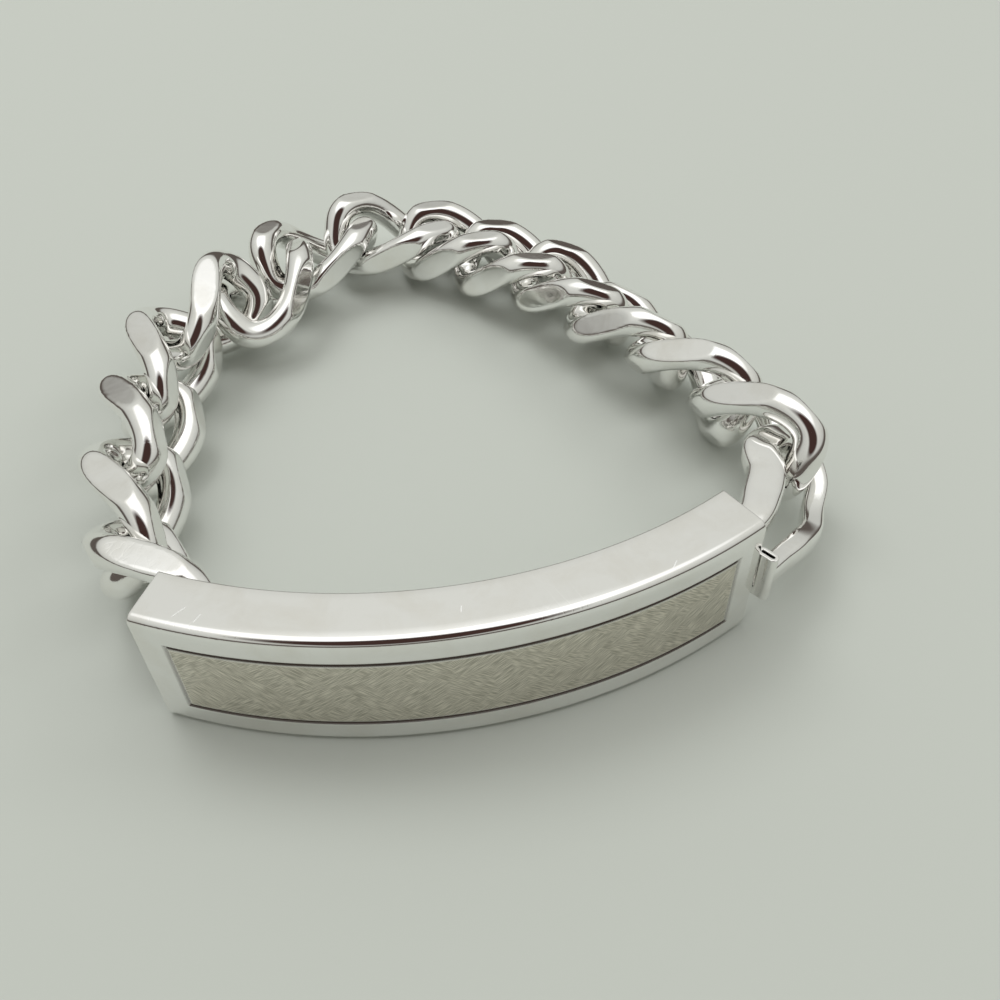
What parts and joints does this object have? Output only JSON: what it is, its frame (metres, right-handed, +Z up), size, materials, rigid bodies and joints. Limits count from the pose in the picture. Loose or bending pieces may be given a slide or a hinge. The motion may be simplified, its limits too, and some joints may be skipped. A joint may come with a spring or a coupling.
{
  "type": "id bracelet",
  "caption": "Closed curb-link bracelet with a curved rectangular hollow name plate, left blank, and a hook clasp; it goes round a wrist.",
  "frame": {"origin": "centre of the closed bracelet in plan, on the surface its lower edge rests on", "axes": "+Z up along the arm, through the wrist opening; -Y faces out of the middle of the name plate, turned a few degrees; +X runs along the plate towards the clasp"},
  "size_m": [0.0726, 0.0762, 0.014],
  "materials": {
    "plate": "polished silver with a cross-hatched satin panel inside an engraved frame line",
    "links": "polished silver with ground flats and fine wear",
    "hook": "polished silver with fine wear"
  },
  "bodies": {
    "root": {"name_plate": "plate", "link_01": "links", "link_02": "links", "link_03": "links", "link_04": "links", "link_05": "links", "link_06": "links", "link_07": "links", "link_08": "links", "link_09": "links", "link_10": "links", "link_11": "links", "link_12": "links", "link_13": "links", "link_14": "links", "clasp_hook": "hook"}
  },
  "joints": []
}
